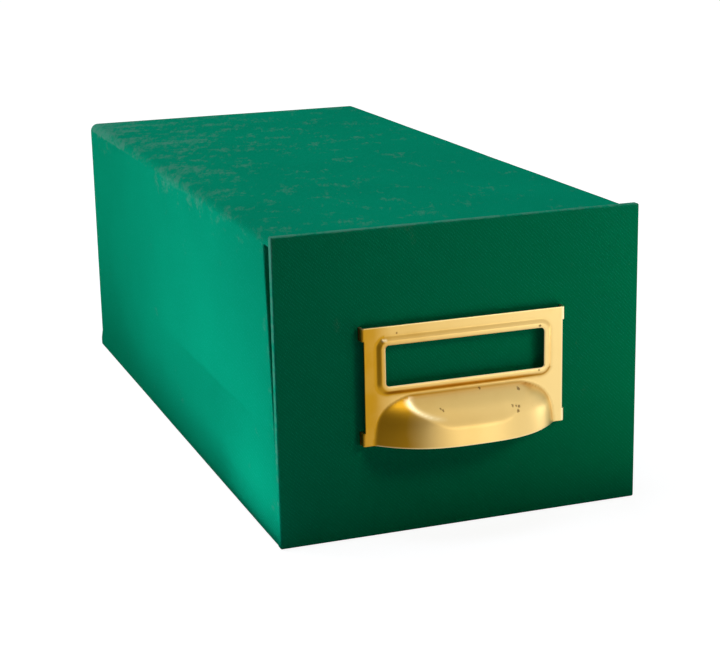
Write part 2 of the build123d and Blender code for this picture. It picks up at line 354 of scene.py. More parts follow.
class Paint:
    """The nodes of a material or a world under construction."""

    def __init__(self, owner):
        owner.use_nodes = True
        self.owner = owner
        self.tree = owner.node_tree
        self.tree.nodes.clear()

    def add(self, kind, settings=None, sockets=None, output=0):
        """Adds a node: its settings first, then its sockets' values or links."""
        node = self.tree.nodes.new(kind)
        for name, value in (settings or {}).items():
            setattr(node, name, value)
        for name, value in (sockets or {}).items():
            socket = node.inputs[name]
            if isinstance(value, Value):
                self.tree.links.new(value.socket, socket)
            elif hasattr(value, "__len__"):
                alpha = (1.0,) if socket.type == "RGBA" else ()
                socket.default_value = (*value, *alpha)
            else:
                socket.default_value = value
        return Value(self, node.outputs[output])

    def place(self):
        """Where a point is on the object, in millimetres."""
        metres = self.add("ShaderNodeTexCoord", output="Object")
        return self.scaled(metres, (1 / MM,) * 3)

    def scaled(self, vector, factors):
        return self.add("ShaderNodeVectorMath", {"operation": "MULTIPLY"},
                        {0: vector, 1: factors})

    def axes(self, vector):
        """A vector's three numbers."""
        node = self.add("ShaderNodeSeparateXYZ", None, {0: vector}).socket.node
        return [Value(self, socket) for socket in node.outputs]

    def vector(self, x=0.0, y=0.0, z=0.0):
        return self.add("ShaderNodeCombineXYZ", None, {0: x, 1: y, 2: z})

    def noise(self, vector, size, detail=2.0, roughness=0.5):
        """Noise from 0 to 1 with blots about a size across."""
        return self.add("ShaderNodeTexNoise", {"noise_dimensions": "3D"},
                        {"Vector": vector, "Scale": 1.0 / size, "Detail": detail,
                         "Roughness": roughness}, "Fac")

    def blend(self, factor, first, second):
        """Mixes two colours."""
        return self.add("ShaderNodeMix", {"data_type": "RGBA"},
                        {MIX_FACTOR: factor, MIX_FIRST: first, MIX_SECOND: second}, MIX_RESULT)

    def bump(self, height, distance, strength=1.0):
        """A normal from a height, whose full range is a distance in millimetres."""
        return self.add("ShaderNodeBump", None,
                        {"Height": height, "Distance": distance * MM, "Strength": strength})

    def surface(self, **sockets):
        """Ends the material in one principled shader."""
        named = {name.replace("_", " "): value for name, value in sockets.items()}
        shader = self.add("ShaderNodeBsdfPrincipled", None, named)
        self.add_output(shader)
        return self.owner

    def add_output(self, shader, kind="ShaderNodeOutputMaterial"):
        output = self.tree.nodes.new(kind)
        self.tree.links.new(shader.socket, output.inputs["Surface"])


def new_paint(name):
    """The empty nodes of a new material."""
    return Paint(bpy.data.materials.new(name))


def cloth_material():
    """Green bookcloth: a fine slanting weave with light flecks, rubbed patches and edges."""
    look = bpy.context.scene.card_drawer_finishes
    paint = new_paint("bookcloth")
    place = paint.place()
    threads = paint.add("ShaderNodeUVMap", {"uv_map": "weave"})
    wander = paint.noise(place, 5.0) - 0.5
    drift = paint.noise(place, 1.6) - 0.5
    u, v, _ = paint.axes(threads)
    pitch = in_mm(look.thread_pitch)
    far_stray, near_stray = 0.9, 0.34       # how far the threads stray, in millimetres
    across = (u + wander * far_stray + drift * near_stray) / pitch
    along = (v - wander * far_stray + drift * near_stray) / pitch
    column, row = across.whole(), along.whole()
    repeat = 3.0                            # every third thread lies on top
    on_top = ((column + row) / repeat + 0.01).part() < 0.2
    chance = paint.add("ShaderNodeTexWhiteNoise", {"noise_dimensions": "2D"},
                       {"Vector": paint.vector(column, row)}, "Value")
    warp = 1.0 - (across.part() - 0.5) ** 2.0 * 4.0
    weft = 1.0 - (along.part() - 0.5) ** 2.0 * 4.0
    height = on_top * warp + (1.0 - on_top) * weft * 0.55
    fleck = on_top * warp * weft * chance.eased(0.3, 1.0)

    wear = paint.add("ShaderNodeAttribute", {"attribute_name": "wear"}, None, "Fac")
    x, y, z = paint.axes(place)
    brushed = paint.vector(x - y * 0.3, y * 0.25, z)
    cloud = paint.noise(place, 10.0, 3.0, 0.55)
    blots = paint.noise(brushed, 2.2, 2.0)
    grain = paint.noise(brushed, 0.8, 2.0, 0.6)
    # On the cloth this is rubbed wear only.
    wear_and_painted_highlight = (cloud * 0.62 + blots * 0.42 + grain * 0.28 + wear * 0.50).eased(0.80, 1.09)
    tone = paint.noise(place, 40.0, 2.0)
    ground = paint.blend(tone.eased(0.3, 0.7) * 0.35, look.cloth_green,
                         tuple(0.82 * value for value in look.cloth_green))
    flecked = paint.blend(fleck * 0.42, ground, look.cloth_light)
    worn = paint.blend(wear_and_painted_highlight * 0.55, flecked, look.cloth_worn)
    # Painted shade in the low parts of the weave, between the threads' crowns.
    sunk = paint.blend((1.0 - height) * 0.35, worn, (0.0, 0.07, 0.035))
    return paint.surface(
        Base_Color=sunk,
        Roughness=0.86 - wear_and_painted_highlight * 0.08,
        Specular_IOR_Level=0.0,
        Normal=paint.bump(height + wear_and_painted_highlight * 0.4, 0.05, 0.8))


def brass_material():
    """Satin brass with dark specks, and the painted shade and painted highlights that its mesh is
    marked with.
    """
    look = bpy.context.scene.card_drawer_finishes
    paint = new_paint("satin_brass")
    place = paint.place()
    dull = paint.add("ShaderNodeAttribute", {"attribute_name": "dull"}, None, "Fac")
    cloud = paint.noise(place, 9.0, 3.0)
    grain = paint.noise(paint.scaled(place, (1.0, 1.0, 1.6)), 0.5, 3.0, 0.65)
    # Painted shade from the mesh, with cloudy and grainy tarnish over it.
    shade_and_tarnish = dull + cloud.eased(0.45, 0.8) * 0.08 + grain.eased(0.55, 0.9) * 0.08
    metal = paint.blend(shade_and_tarnish, look.brass, look.brass_in_painted_shade)
    x, _, z = paint.axes(place)
    specks = None
    for speck_x, speck_z, radius in BRASS_SPECKS:
        spot = ((x - speck_x) ** 2.0 + (z - speck_z) ** 2.0) ** 0.5 + (grain - 0.5) * 0.9
        shade = spot.eased(radius + 0.22, radius - 0.12)
        specks = shade if specks is None else specks.most(shade)
    dust = paint.noise(place, 0.8, 1.0).eased(0.80, 0.86)
    stained = paint.blend(specks.most(dust * 0.5) * 0.75, metal, (0.13, 0.060, 0.014))
    # Painted highlights that the mesh is marked with, in the bright brass colour.
    bright = paint.add("ShaderNodeAttribute", {"attribute_name": "bright"}, None, "Fac")
    highlighted = paint.blend(bright * 0.9, stained, look.brass_bright)
    return paint.surface(
        Base_Color=highlighted,
        Metallic=1.0,
        Roughness=0.30 + dull * 0.10 + cloud * 0.06 + specks * 0.25,
        Normal=paint.bump(grain, 0.006, 0.5))


def board_material():
    """Grey binder's board: pressed waste paper with light and dark fibres."""
    look = bpy.context.scene.card_drawer_finishes
    paint = new_paint("greyboard")
    place = paint.place()
    pulp = paint.noise(place, 3.0, 4.0, 0.65)
    fibres = paint.noise(paint.scaled(place, (1.0, 0.25, 1.0)), 0.35, 3.0)
    specks = paint.noise(place, 0.6, 1.0)
    ground = paint.blend(pulp.eased(0.3, 0.7), look.board_grey,
                         tuple(0.72 * value for value in look.board_grey))
    light = paint.blend(fibres.eased(0.58, 0.75) * 0.5, ground, (0.50, 0.48, 0.43))
    dark = paint.blend(specks.eased(0.68, 0.76) * 0.6, light, (0.08, 0.08, 0.09))
    return paint.surface(Base_Color=dark, Roughness=0.93, Specular_IOR_Level=0.2,
                         Normal=paint.bump(fibres + pulp * 0.5, 0.05, 0.7))


def paper_material(name, ground, dark, fibre, gloss):
    """A paper with a cloudy sheet formation and fine fibres."""
    paint = new_paint(name)
    place = paint.place()
    cloud = paint.noise(place, 14.0, 3.0, 0.6)
    formation = paint.noise(place, 1.1, 3.0, 0.6)
    fibres = paint.noise(paint.scaled(place, (0.35, 1.0, 0.6)), 0.25, 2.0)
    aged = paint.blend(cloud.eased(0.35, 0.75) * 0.6, ground, dark)
    clouded = paint.blend(formation.eased(0.45, 0.75) * 0.25, aged, dark)
    flecked = paint.blend(fibres.eased(0.62, 0.74) * 0.35, clouded, fibre)
    return paint.surface(Base_Color=flecked, Roughness=gloss + cloud * 0.1,
                         Specular_IOR_Level=0.3,
                         Normal=paint.bump(fibres * 0.6 + formation, 0.02, 0.6))


def other_materials():
    """The materials of the boards, papers and tape, by their slot names."""
    look = bpy.context.scene.card_drawer_finishes
    return {
        "greyboard": board_material(),
        "paper": paper_material("lining_paper", look.lining, (0.52, 0.45, 0.33),
                                (0.80, 0.77, 0.68), 0.78),
        "dark_paper": paper_material("cover_paper", look.cover_paper, (0.040, 0.043, 0.040),
                                     (0.085, 0.085, 0.080), 0.50),
        "kraft_tape": paper_material("gummed_tape", look.tape, (0.30, 0.18, 0.08),
                                     (0.55, 0.40, 0.24), 0.60),
    }


def material_named(name, make):
    """A material that is made once and then shared."""
    return bpy.data.materials.get(name) or make()


# Case cover -----------------------------------------------------------------------------

CASE_LOW, CASE_HIGH = box_mm("case_wrap")
BAND_BACK = box_mm("case_lining")[0].y
MARGIN = 12.0               # width of the cloth turned over under a pasted sheet or backing


def mouth_edge(z, sizes):
    """How far back the side's front edge is at a height."""
    start, top = in_mm(sizes.rake_start), CASE_HIGH.z - in_mm(sizes.wall)
    lean = min(max((z - start) / (top - start), 0.0), 1.0) if z < top + CLOSE else 0.0
    return CASE_LOW.y + in_mm(sizes.rake) * lean


def case_skin(sizes):
    """The case's outer skin with its raked mouth and the band that is turned in there."""
    foot, wall = in_mm(sizes.foot), in_mm(sizes.wall)
    half = CASE_HIGH.x - foot
    front, back = CASE_LOW.y, CASE_HIGH.y
    bottom, top = CASE_LOW.z, CASE_HIGH.z
    bm = new_slab(Vector((-half, front, bottom)), Vector((half, back, top)))
    long_edges = [edge for edge in bm.edges
                  if all(v.co.z > top - 0.1 for v in edge.verts)
                  and abs(edge.verts[0].co.x - edge.verts[1].co.x) < 0.1]
    round_edges(bm, long_edges, in_mm(sizes.edge_radius), 8)
    foot_top = in_mm(sizes.foot_height)
    cut_rows(bm, UP, (foot_top, in_mm(sizes.rake_start)))
    for vert in bm.verts:
        if vert.co.z < foot_top + CLOSE:
            vert.co.x += math.copysign(foot, vert.co.x)

    # The raked mouth: a wedge comes off in front of the sides, up to the top board
    start, mouth_top, rake = in_mm(sizes.rake_start), top - wall, in_mm(sizes.rake)
    cut_rows(bm, UP, (mouth_top,))
    slope = Vector((0, mouth_top - start, -rake)).normalized()
    cut(bm, Vector((0, front, start)), slope)
    remove(bm, faces_where(bm, lambda centre, _: start < centre.z < mouth_top and
                           centre.y < mouth_edge(centre.z, sizes) - CLOSE))

    def corner(x, y, z):
        return min(bm.verts, key=lambda v: (v.co - Vector((x, y, z))).length)

    low_pair = [corner(x, front, start) for x in (-half, half)]
    high_pair = [corner(x, front + rake, mouth_top) for x in (-half, half)]
    lip_pair = [corner(x, front, mouth_top) for x in (-half, half)]
    bm.faces.new((low_pair[0], low_pair[1], high_pair[1], high_pair[0]))
    bm.faces.new((high_pair[0], high_pair[1], lip_pair[1], lip_pair[0]))
    bmesh.ops.recalc_face_normals(bm, faces=bm.faces)
    bm.normal_update()

    # The opening, and the band of cloth inside it
    room = half - wall

    def on_mouth(centre, normal):
        return normal.y < -FACING and centre.z < mouth_top and centre.y < front + rake

    cut_rows(bm, RIGHT, (-room, room), on_mouth)
    remove(bm, faces_where(bm, lambda centre, normal: on_mouth(centre, normal) and
                           abs(centre.x) < room and centre.z > bottom + wall))
    rim = [edge for edge in bm.edges if edge.is_boundary]
    grown = bmesh.ops.extrude_edge_only(bm, edges=rim)["geom"]
    for vert in grown:
        if isinstance(vert, bmesh.types.BMVert):
            vert.co.y = BAND_BACK
    bmesh.ops.recalc_face_normals(bm, faces=bm.faces)
    bm.normal_update()
    return bm


def open_margins(bm, sizes):
    """Leaves the base and the back open inside the turned-over margins."""
    half = CASE_HIGH.x - in_mm(sizes.foot) - in_mm(sizes.turn_in)
    margin = in_mm(sizes.turn_in)

    def on_base(centre, normal):
        return normal.z < -FACING and centre.z < CASE_LOW.z + 0.1

    def on_back(centre, normal):
        return normal.y > FACING and centre.y > CASE_HIGH.y - 0.1

    ends = (CASE_LOW.y + margin, CASE_HIGH.y - margin)
    heights = (CASE_LOW.z + margin, CASE_HIGH.z - margin)
    cut_rows(bm, RIGHT, (-half, half), on_base)
    cut_rows(bm, BACK, ends, on_base)
    cut_rows(bm, RIGHT, (-half, half), on_back)
    cut_rows(bm, UP, heights, on_back)
    remove(bm, faces_where(bm, lambda c, n: on_base(c, n) and abs(c.x) < half and
                           ends[0] < c.y < ends[1]))
    remove(bm, faces_where(bm, lambda c, n: on_back(c, n) and abs(c.x) < half and
                           heights[0] < c.z < heights[1]))


def case_unroll(normal, co):
    """Lays the weave up the left side, over the top and down the right side."""
    half, top = CASE_HIGH.x, CASE_HIGH.z
    if abs(normal.y) > 0.7:
        return co.x, co.z
    if abs(normal.z) > 0.7:
        return co.y, top + half + co.x
    return co.y, co.z if normal.x < 0 else 2 * (top + half) - co.z


def case_wear(sizes):
    """How worn the case's cloth is at a point: most on its edges and the top."""
    half, top = CASE_HIGH.x - in_mm(sizes.foot), CASE_HIGH.z

    def wear_at(co):
        long_edge = near(math.hypot(half - abs(co.x), top - co.z), 9.0)
        mouth = near(co.y - mouth_edge(co.z, sizes), 14.0) * (abs(co.x) > half - 1)
        back_edge = near(CASE_HIGH.y - co.y, 4.0)
        foot = near(co.z - CASE_LOW.z, 4.0)
        patch = 0.5 + 0.5 * hills(co, 38.0, 3.0)
        depth = (co.y - CASE_LOW.y) / (CASE_HIGH.y - CASE_LOW.y)
        to_the_left = 0.35 + 0.65 * near(co.x + half, 120.0)
        to_the_back = 0.55 + 0.45 * depth
        on_top = 0.80 * (co.z > top - 2.5) * to_the_left * (0.4 + 0.6 * patch) * to_the_back
        return max(on_top, 0.75 * long_edge * patch, 0.6 * mouth * patch,
                   0.5 * back_edge, 0.4 * foot)

    return wear_at


def build_case_cover(sizes):
    """The cloth round the case, as one thin skin with its turned-in edges."""
    bm = case_skin(sizes)
    open_margins(bm, sizes)
    long_sides = sharp_edges(bm)
    round_edges(bm, long_sides, in_mm(sizes.fold_radius), 4)
    step = in_mm(sizes.station)
    half = CASE_HIGH.x - in_mm(sizes.foot)
    cut_rows(bm, BACK, between(CASE_LOW.y + 9.0, CASE_HIGH.y - 2.0, step))
    cut_rows(bm, UP, between(9.0, CASE_HIGH.z - 5.0, 2 * step))
    cut_rows(bm, RIGHT, between(-half + 4.0, half - 4.0, 2 * step))
    waviness = in_mm(sizes.waviness)

    def height_at(co):
        outside = co.z > CASE_HIGH.z - 1.0 or abs(co.x) > half - 1.0 or co.y > CASE_HIGH.y - 0.5
        if not outside or co.y < CASE_LOW.y + 1.0:
            return 0.0
        edge = near(math.hypot(half - abs(co.x), CASE_HIGH.z - co.z), 6.0)
        broad = 0.5 + 0.5 * hills(co, 42.0)
        return waviness * (broad + 0.7 * edge * hills(co, 7.0, 5.0))

    rise(bm, height_at)
    lay_map(bm, case_unroll)
    mark_wear(bm, case_wear(sizes))
    cloth = material_named("bookcloth", cloth_material)
    piece = add_piece(bm, "case_cover", "case", cloth, ["case_wrap"])
    thicken(piece, sizes.cloth)
    even_shading(piece)


def build_pasted_sheet(name, node, across, out, sizes):
    """A sheet of cloth pasted over the case's base or back, with softened cut edges."""
    low, high = box_mm(node)
    bm = new_slab(low, high)
    corners = [edge for edge in bm.edges
               if abs((edge.verts[0].co - edge.verts[1].co).normalized().dot(out)) > FACING]
    round_edges(bm, corners, 1.6, 5)
    axis = BACK if abs(out.y) > 0.5 else UP
    outer = max if out.dot(axis) > 0 else min
    face_place = outer(co.dot(axis) for co in (low, high))
    rim = [edge for edge in bm.edges if len(edge.link_faces) == 2
           and edge.calc_face_angle() > 1.0
           and all(abs(v.co.dot(axis) - face_place) < CLOSE for v in edge.verts)]
    round_edges(bm, rim, 0.14, 2)
    for way in (RIGHT, across):
        start, end = low.dot(way) + 3.0, high.dot(way) - 3.0
        cut_rows(bm, way, between(start, end, 2 * in_mm(sizes.station)))

    def height_at(co):
        if abs(co.dot(axis) - face_place) > 0.05:
            return 0.0
        ridge = max(near(abs(co.x) - (CASE_HIGH.x - MARGIN), 2.5),
                    near(co.dot(across) - (low.dot(across) + MARGIN), 2.5),
                    near(co.dot(across) - (high.dot(across) - MARGIN), 2.5))
        return 0.05 * ridge - 0.10 - 0.05 * hills(co, 30.0, 8.0)

    rise(bm, height_at)
    lay_map(bm, lambda normal, co: (co.x, co.dot(across)))
    mark_wear(bm, lambda co: 0.35 * max(
        near(co.dot(across) - low.dot(across), 6.0), near(high.dot(across) - co.dot(across), 6.0),
        near(co.x - low.x, 6.0), near(high.x - co.x, 6.0)) + 0.15)
    cloth = material_named("bookcloth", cloth_material)
    piece = add_piece(bm, name, "case", cloth, [node])
    even_shading(piece)


# Drawer front cover ---------------------------------------------------------------------

FRONT_LOW, FRONT_HIGH = box_mm("drawer_front_cloth")
PULL_LOW, PULL_HIGH = box_mm("label_pull")
SLOT_PLAY = 0.15            # room round each tab in its slot
BLISTER_X = -31.2           # of the small blister in the cloth over the upper left tab


def tab_spans(sizes):
    """The (lower, upper) heights of the tabs at one side of the pull."""
    height, inset = in_mm(sizes.tab_height), 0.1
    return [(PULL_LOW.z + inset, PULL_LOW.z + inset + height),
            (PULL_HIGH.z - inset - height, PULL_HIGH.z - inset)]


def front_unroll(normal, co):
    """Lays the weave over the front and round its edges."""
    if abs(normal.y) > 0.7:
        return co.x, co.z
    if abs(normal.z) > 0.7:
        return co.x, co.z + math.copysign(co.y - FRONT_LOW.y, normal.z)
    return co.x + math.copysign(co.y - FRONT_LOW.y, normal.x), co.z


def build_front_cover(sizes, pull):
    """The cloth over the drawer front, turned over behind and slit for the pull's tabs."""
    bm = new_slab(FRONT_LOW, FRONT_HIGH)
    round_edges(bm, sharp_edges(bm), in_mm(sizes.fold_radius), 4)

    def on_back(centre, normal):
        return normal.y > FACING

    def on_front(centre, normal):
        return normal.y < -FACING

    left, right = FRONT_LOW.x + MARGIN, FRONT_HIGH.x - MARGIN
    low, high = FRONT_LOW.z + MARGIN, FRONT_HIGH.z - MARGIN
    cut_rows(bm, RIGHT, (left, right), on_back)
    cut_rows(bm, UP, (low, high), on_back)
    remove(bm, faces_where(bm, lambda c, n: on_back(c, n) and left < c.x < right and
                           low < c.z < high))
    outer = PULL_HIGH.x + SLOT_PLAY
    inner = PULL_HIGH.x - in_mm(pull.sheet) - SLOT_PLAY
    slots = [(bottom - SLOT_PLAY, top + SLOT_PLAY) for bottom, top in tab_spans(pull)]
    step = in_mm(sizes.station)
    beside = [side * x for side in (-1, 1) for x in (inner - 1.0, inner, outer, outer + 1.0)]
    cut_rows(bm, RIGHT, beside, on_front)
    cut_rows(bm, UP, [z + play for span in slots for z, plays in
                      zip(span, ((-1.0, 0.0), (0.0, 1.0))) for play in plays], on_front)
    cut_rows(bm, RIGHT, between(FRONT_LOW.x + 1.0, FRONT_HIGH.x - 1.0, step), on_front)
    cut_rows(bm, UP, between(FRONT_LOW.z + 1.0, FRONT_HIGH.z - 1.0, step), on_front)
    remove(bm, faces_where(bm, lambda c, n: on_front(c, n) and inner < abs(c.x) < outer and
                           any(a < c.z < b for a, b in slots)))
    waviness, pucker = in_mm(sizes.waviness), in_mm(sizes.pucker)

    def height_at(co):
        if co.y > FRONT_LOW.y + 0.3:
            return 0.0
        drawn = 0.0
        for a, b in slots:
            aside = max(abs(abs(co.x) - (inner + outer) / 2) - (outer - inner) / 2, 0.0)
            over = max(a - co.z, co.z - b, 0.0)
            drawn = max(drawn, near(math.hypot(aside, over), 1.6))
        blister = near((co - Vector((BLISTER_X, FRONT_LOW.y, slots[1][1] + 1.3))).length, 2.6)
        return waviness * hills(co, 26.0, 2.0) - pucker * drawn + 0.35 * blister - waviness

    rise(bm, height_at)
    lay_map(bm, front_unroll)

    def wear_at(co):
        top = near(FRONT_HIGH.z - co.z, 0.9)
        side = near(FRONT_HIGH.x - abs(co.x), 0.8)
        bottom = near(co.z - FRONT_LOW.z, 0.8)
        corner = near((FRONT_HIGH.x - abs(co.x)) + (FRONT_HIGH.z - co.z), 5.0)
        patch = 0.6 + 0.4 * hills(co, 12.0, 6.0)
        return max(top * patch, side * patch, 0.8 * bottom, 0.6 * corner)

    mark_wear(bm, wear_at)
    cloth = material_named("bookcloth", cloth_material)
    piece = add_piece(bm, "drawer_front_cover", "drawer", cloth,
                      ["drawer_front_cloth"])
    thicken(piece, bpy.context.scene.card_drawer_case.cloth)
    even_shading(piece)


# Brass pull -----------------------------------------------------------------------------

PULL_TOP = PULL_LOW.z + 34.0
PULL_SIDE = 30.0            # from the middle to the plate's side edge
PLATE_FRONT = FRONT_LOW.y - 1.6 - 0.6
TRAY_INSIDE = PULL_HIGH.y
CUP_SIDE_LEAN = 0.10        # how far the cup's sides close in per millimetre of height
CUP_FRONT_LEAN = 0.13       # how far its wall falls back per millimetre of height
CUP_SQUARENESS = 2.9        # power of the lip's curve, seen from above
CUP_ARCH_HEIGHT = 14.6      # of the arch that the cup's outline follows on the plate
CUP_ARCH_SQUARENESS = 3.6   # power of that arch's curve
CUP_SOFTENING, CUP_SOFTENING_START = 0.03, 6.0
CUP_ROOF_FALL = 0.70        # height that the roof loses per millimetre outwards
CUP_BLEND, CUP_CREASE = 3.4, 0.8        # rounding between wall and roof, at the middle and sides
FOOT_BLEND = 0.6            # rounding between the cup and the plate
FINE_INSIDE = 1.12          # how far the fine cells reach inside the window

# Shade and shine painted on the brass, matched to the photograph's one view and light. They are
# not tarnish or wear, and stay put under other light. At 0, the painted shade in the frame's
# groove and round the cup's foot, and the painted highlights on the edges and the lip, remain.
LEFT_LEAN_SHADE = 0.95      # on faces that lean to the left
LEAN_START, LEAN_SPAN = 0.3, 0.6        # the slope where that shade starts, and its rise to full
LEFTWARD_SHADE = 0.29       # gained over each half of the plate, from right to left
LEFT_STRIP_SHADE = 0.34     # gained on the strip at the plate's left
STRIP_START, STRIP_SPAN = 22.0, 5.0     # where that strip starts left of the middle, and its rise
CREASE_SHINE = 0.7          # along the left of the cup's crease
DIMPLE_SHINE = 0.8          # a dash beside the dimple
EVEN_DULLNESS = 0.03        # all over the brass
DIMPLE_X, DIMPLE_RISE = -24.6, 7.35     # of the small dimple, from the window's middle
PROBE = 0.3                 # how far to each side the cup's slope is measured

# x, height and radius of the dark specks
BRASS_SPECKS = (
    (15.2, 40.0, 0.34), (11.4, 36.7, 0.26), (12.6, 35.3, 0.36), (13.2, 36.4, 0.32),
    (12.4, 36.6, 0.20), (3.9, 41.1, 0.24), (-9.8, 37.9, 0.16), (-9.2, 37.5, 0.20),
    (22.3, 44.2, 0.26), (22.6, 57.1, 0.30), (-20.4, 59.6, 0.22),
)


def soft_top(depth, blend):
    """The larger of 0 and a depth, with the corner between them rounded."""
    if depth >= blend:
        return depth
    return (depth + blend) ** 2 / (4 * blend) if depth > -blend else 0.0


def cup_sheets(x, up, sizes):
    """How far the cup's upright wall and its sloping roof stand out at x and a height."""
    arch = max(1 - (max(up, 0.0) / CUP_ARCH_HEIGHT) ** CUP_ARCH_SQUARENESS, 0.001)
    half = in_mm(sizes.cup_half) * arch ** (1 / CUP_ARCH_SQUARENESS) - CUP_SIDE_LEAN * up
    power = max(CUP_SQUARENESS - CUP_SOFTENING * max(up - CUP_SOFTENING_START, 0.0) ** 2, 1.3)
    wall = (in_mm(sizes.cup_reach) - CUP_FRONT_LEAN * up) * (1 - abs(x / half) ** power)
    return wall, (in_mm(sizes.cup_height) - up) / CUP_ROOF_FALL


def cup_depth(x, up, sizes):
    """How far the cup stands out of the plate at x, a height above its lip."""
    wall, roof = cup_sheets(x, up, sizes)
    sideways = min(max((abs(x) - 8.0) / 7.0, 0.0), 1.0)
    blend = CUP_BLEND - (CUP_BLEND - CUP_CREASE) * sideways * sideways * (3 - 2 * sideways)
    overlap = max(blend - abs(wall - roof), 0.0)
    return soft_top(min(wall, roof) - overlap ** 2 / (4 * blend), FOOT_BLEND)


def window_centre(sizes):
    """Height of the window's middle."""
    return PULL_TOP - in_mm(sizes.window_drop) - in_mm(sizes.window_height) / 2


def window_distance(x, z, sizes):
    """Distance from the window's edge, positive outside."""
    radius = in_mm(sizes.window_radius)
    over_x = abs(x) - in_mm(sizes.window_width) / 2 + radius
    over_z = abs(z - window_centre(sizes)) - in_mm(sizes.window_height) / 2 + radius
    outside = math.hypot(max(over_x, 0.0), max(over_z, 0.0))
    return outside + min(max(over_x, over_z), 0.0) - radius


def frame_height(x, z, sizes):
    """How far the raised frame stands out of the plate."""
    distance, width = window_distance(x, z, sizes), in_mm(sizes.frame_width)
    share = min(max((width - distance) / (width - in_mm(sizes.frame_flat)), 0.0), 1.0)
    slope = share * share * (3 - 2 * share)
    crown = 0.22 * min(((distance - 0.6) / 0.6) ** 2, 1.0) if distance < 0.6 else 0.0
    return in_mm(sizes.frame_step) * slope - crown


def pull_rows(low, high, fine_bands, sizes):
    """Places for the grid's lines, closer together inside the fine bands."""
    places = [low, *between(low, high, in_mm(sizes.cell)), high]
    for start, end in fine_bands:
        places = [place for place in places if not start - 0.05 < place < end + 0.05]
        places += [start, *between(start, end, in_mm(sizes.fine_cell)), end]
    return sorted(places)


def pull_plate(sizes):
    """The pressed sheet: a grid with the window cut out and the forms pressed in."""
    half_window, window_z = in_mm(sizes.window_width) / 2, window_centre(sizes)
    half_height, band = in_mm(sizes.window_height) / 2, in_mm(sizes.frame_width) + 0.2
    outer_x, inner_x = half_window + band, half_window - FINE_INSIDE
    outer_z, inner_z = half_height + band, half_height - FINE_INSIDE
    fine_x = [(-outer_x, -inner_x), (inner_x, outer_x)]
    fine_z = [(window_z - outer_z, window_z - inner_z), (window_z + inner_z, window_z + outer_z)]
    xs = pull_rows(-PULL_SIDE, PULL_SIDE, fine_x, sizes)
    zs = pull_rows(PULL_LOW.z, PULL_TOP, fine_z, sizes)
    for places, targets in ((xs, (-half_window, half_window)),
                            (zs, (window_z - half_height, window_z + half_height,
                                  *(z for span in tab_spans(sizes) for z in span)))):
        for target in targets:
            nearest = min(range(len(places)), key=lambda i: abs(places[i] - target))
            places[nearest] = target
    bm = bmesh.new()
    bmesh.ops.create_grid(bm, x_segments=len(xs) - 1, y_segments=len(zs) - 1, size=1.0)
    for vert in bm.verts:
        column = round((vert.co.x + 1) / 2 * (len(xs) - 1))
        row = round((vert.co.y + 1) / 2 * (len(zs) - 1))
        vert.co = Vector((xs[column], 0.0, zs[row]))
    remove(bm, faces_where(bm, lambda c, n: window_distance(c.x, c.z, sizes) < 0.0))
    radius = in_mm(sizes.window_radius)
    for vert in bm.verts:
        corner_x = math.copysign(half_window - radius, vert.co.x)
        corner_z = window_z + math.copysign(half_height - radius, vert.co.z - window_z)
        out = Vector((vert.co.x - corner_x, 0.0, vert.co.z - corner_z))
        beyond = out.x * vert.co.x > 0 and out.z * (vert.co.z - window_z) > 0
        if vert.is_boundary and beyond and abs(vert.co.x) < PULL_SIDE - 1 and \
                out.length < radius + 0.5:
            out = out.normalized() * radius
            vert.co.x, vert.co.z = corner_x + out.x, corner_z + out.z
    return bm


def bend_tab(bm, side, span, sizes):
    """Bends a tab off the plate's edge: back through the front and in behind it."""
    bulge = in_mm(sizes.tab_bulge)
    low, high = span
    edges = [edge for edge in bm.edges if edge.is_boundary and
             all(abs(v.co.x - side * PULL_SIDE) < CLOSE and low - CLOSE < v.co.z < high + CLOSE
                 for v in edge.verts)]
    turn = side * math.pi / 2
    centre = Vector((side * PULL_SIDE, PLATE_FRONT + bulge, 0.0))
    edges = spun(bm, edges, centre, turn)
    edges = pushed(bm, edges, Vector((0.0, TRAY_INSIDE - bulge - centre.y, 0.0)), 8)
    centre = Vector((side * PULL_SIDE, TRAY_INSIDE - bulge, 0.0))
    edges = spun(bm, edges, centre, turn)
    pushed(bm, edges, Vector((side * (bulge - in_mm(sizes.tab_clinch)), 0.0, 0.0)), 4)


def spun(bm, edges, centre, angle):
    """Turns a strip on from edges round an upright axis, and returns its new end."""
    parts = [*dict.fromkeys(v for edge in edges for v in edge.verts), *edges]
    result = bmesh.ops.spin(bm, geom=parts, cent=centre, axis=UP, angle=angle, steps=6,
                            dvec=Vector(), use_merge=False, use_duplicate=False)
    return [part for part in result["geom_last"] if isinstance(part, bmesh.types.BMEdge)]


def pushed(bm, edges, move, steps):
    """Runs a strip on from edges in equal steps, and returns its new end."""
    for _ in range(steps):
        grown = bmesh.ops.extrude_edge_only(bm, edges=edges)["geom"]
        verts = [part for part in grown if isinstance(part, bmesh.types.BMVert)]
        bmesh.ops.translate(bm, vec=move / steps, verts=verts)
        edges = [part for part in grown if isinstance(part, bmesh.types.BMEdge)
                 and all(v in verts for v in part.verts)]
    return edges


def painted_shade(x, lean):
    """The dullness painted on a face that leans left, and the dullness painted at x."""
    leaning = min(max(lean - LEAN_START, 0.0) / LEAN_SPAN, 1.0)
    strip = min(max(-x - STRIP_START, 0.0) / STRIP_SPAN, 1.0)
    leftward = LEFTWARD_SHADE * (1.0 - x / PULL_SIDE)
    return LEFT_LEAN_SHADE * leaning, leftward + EVEN_DULLNESS + LEFT_STRIP_SHADE * strip


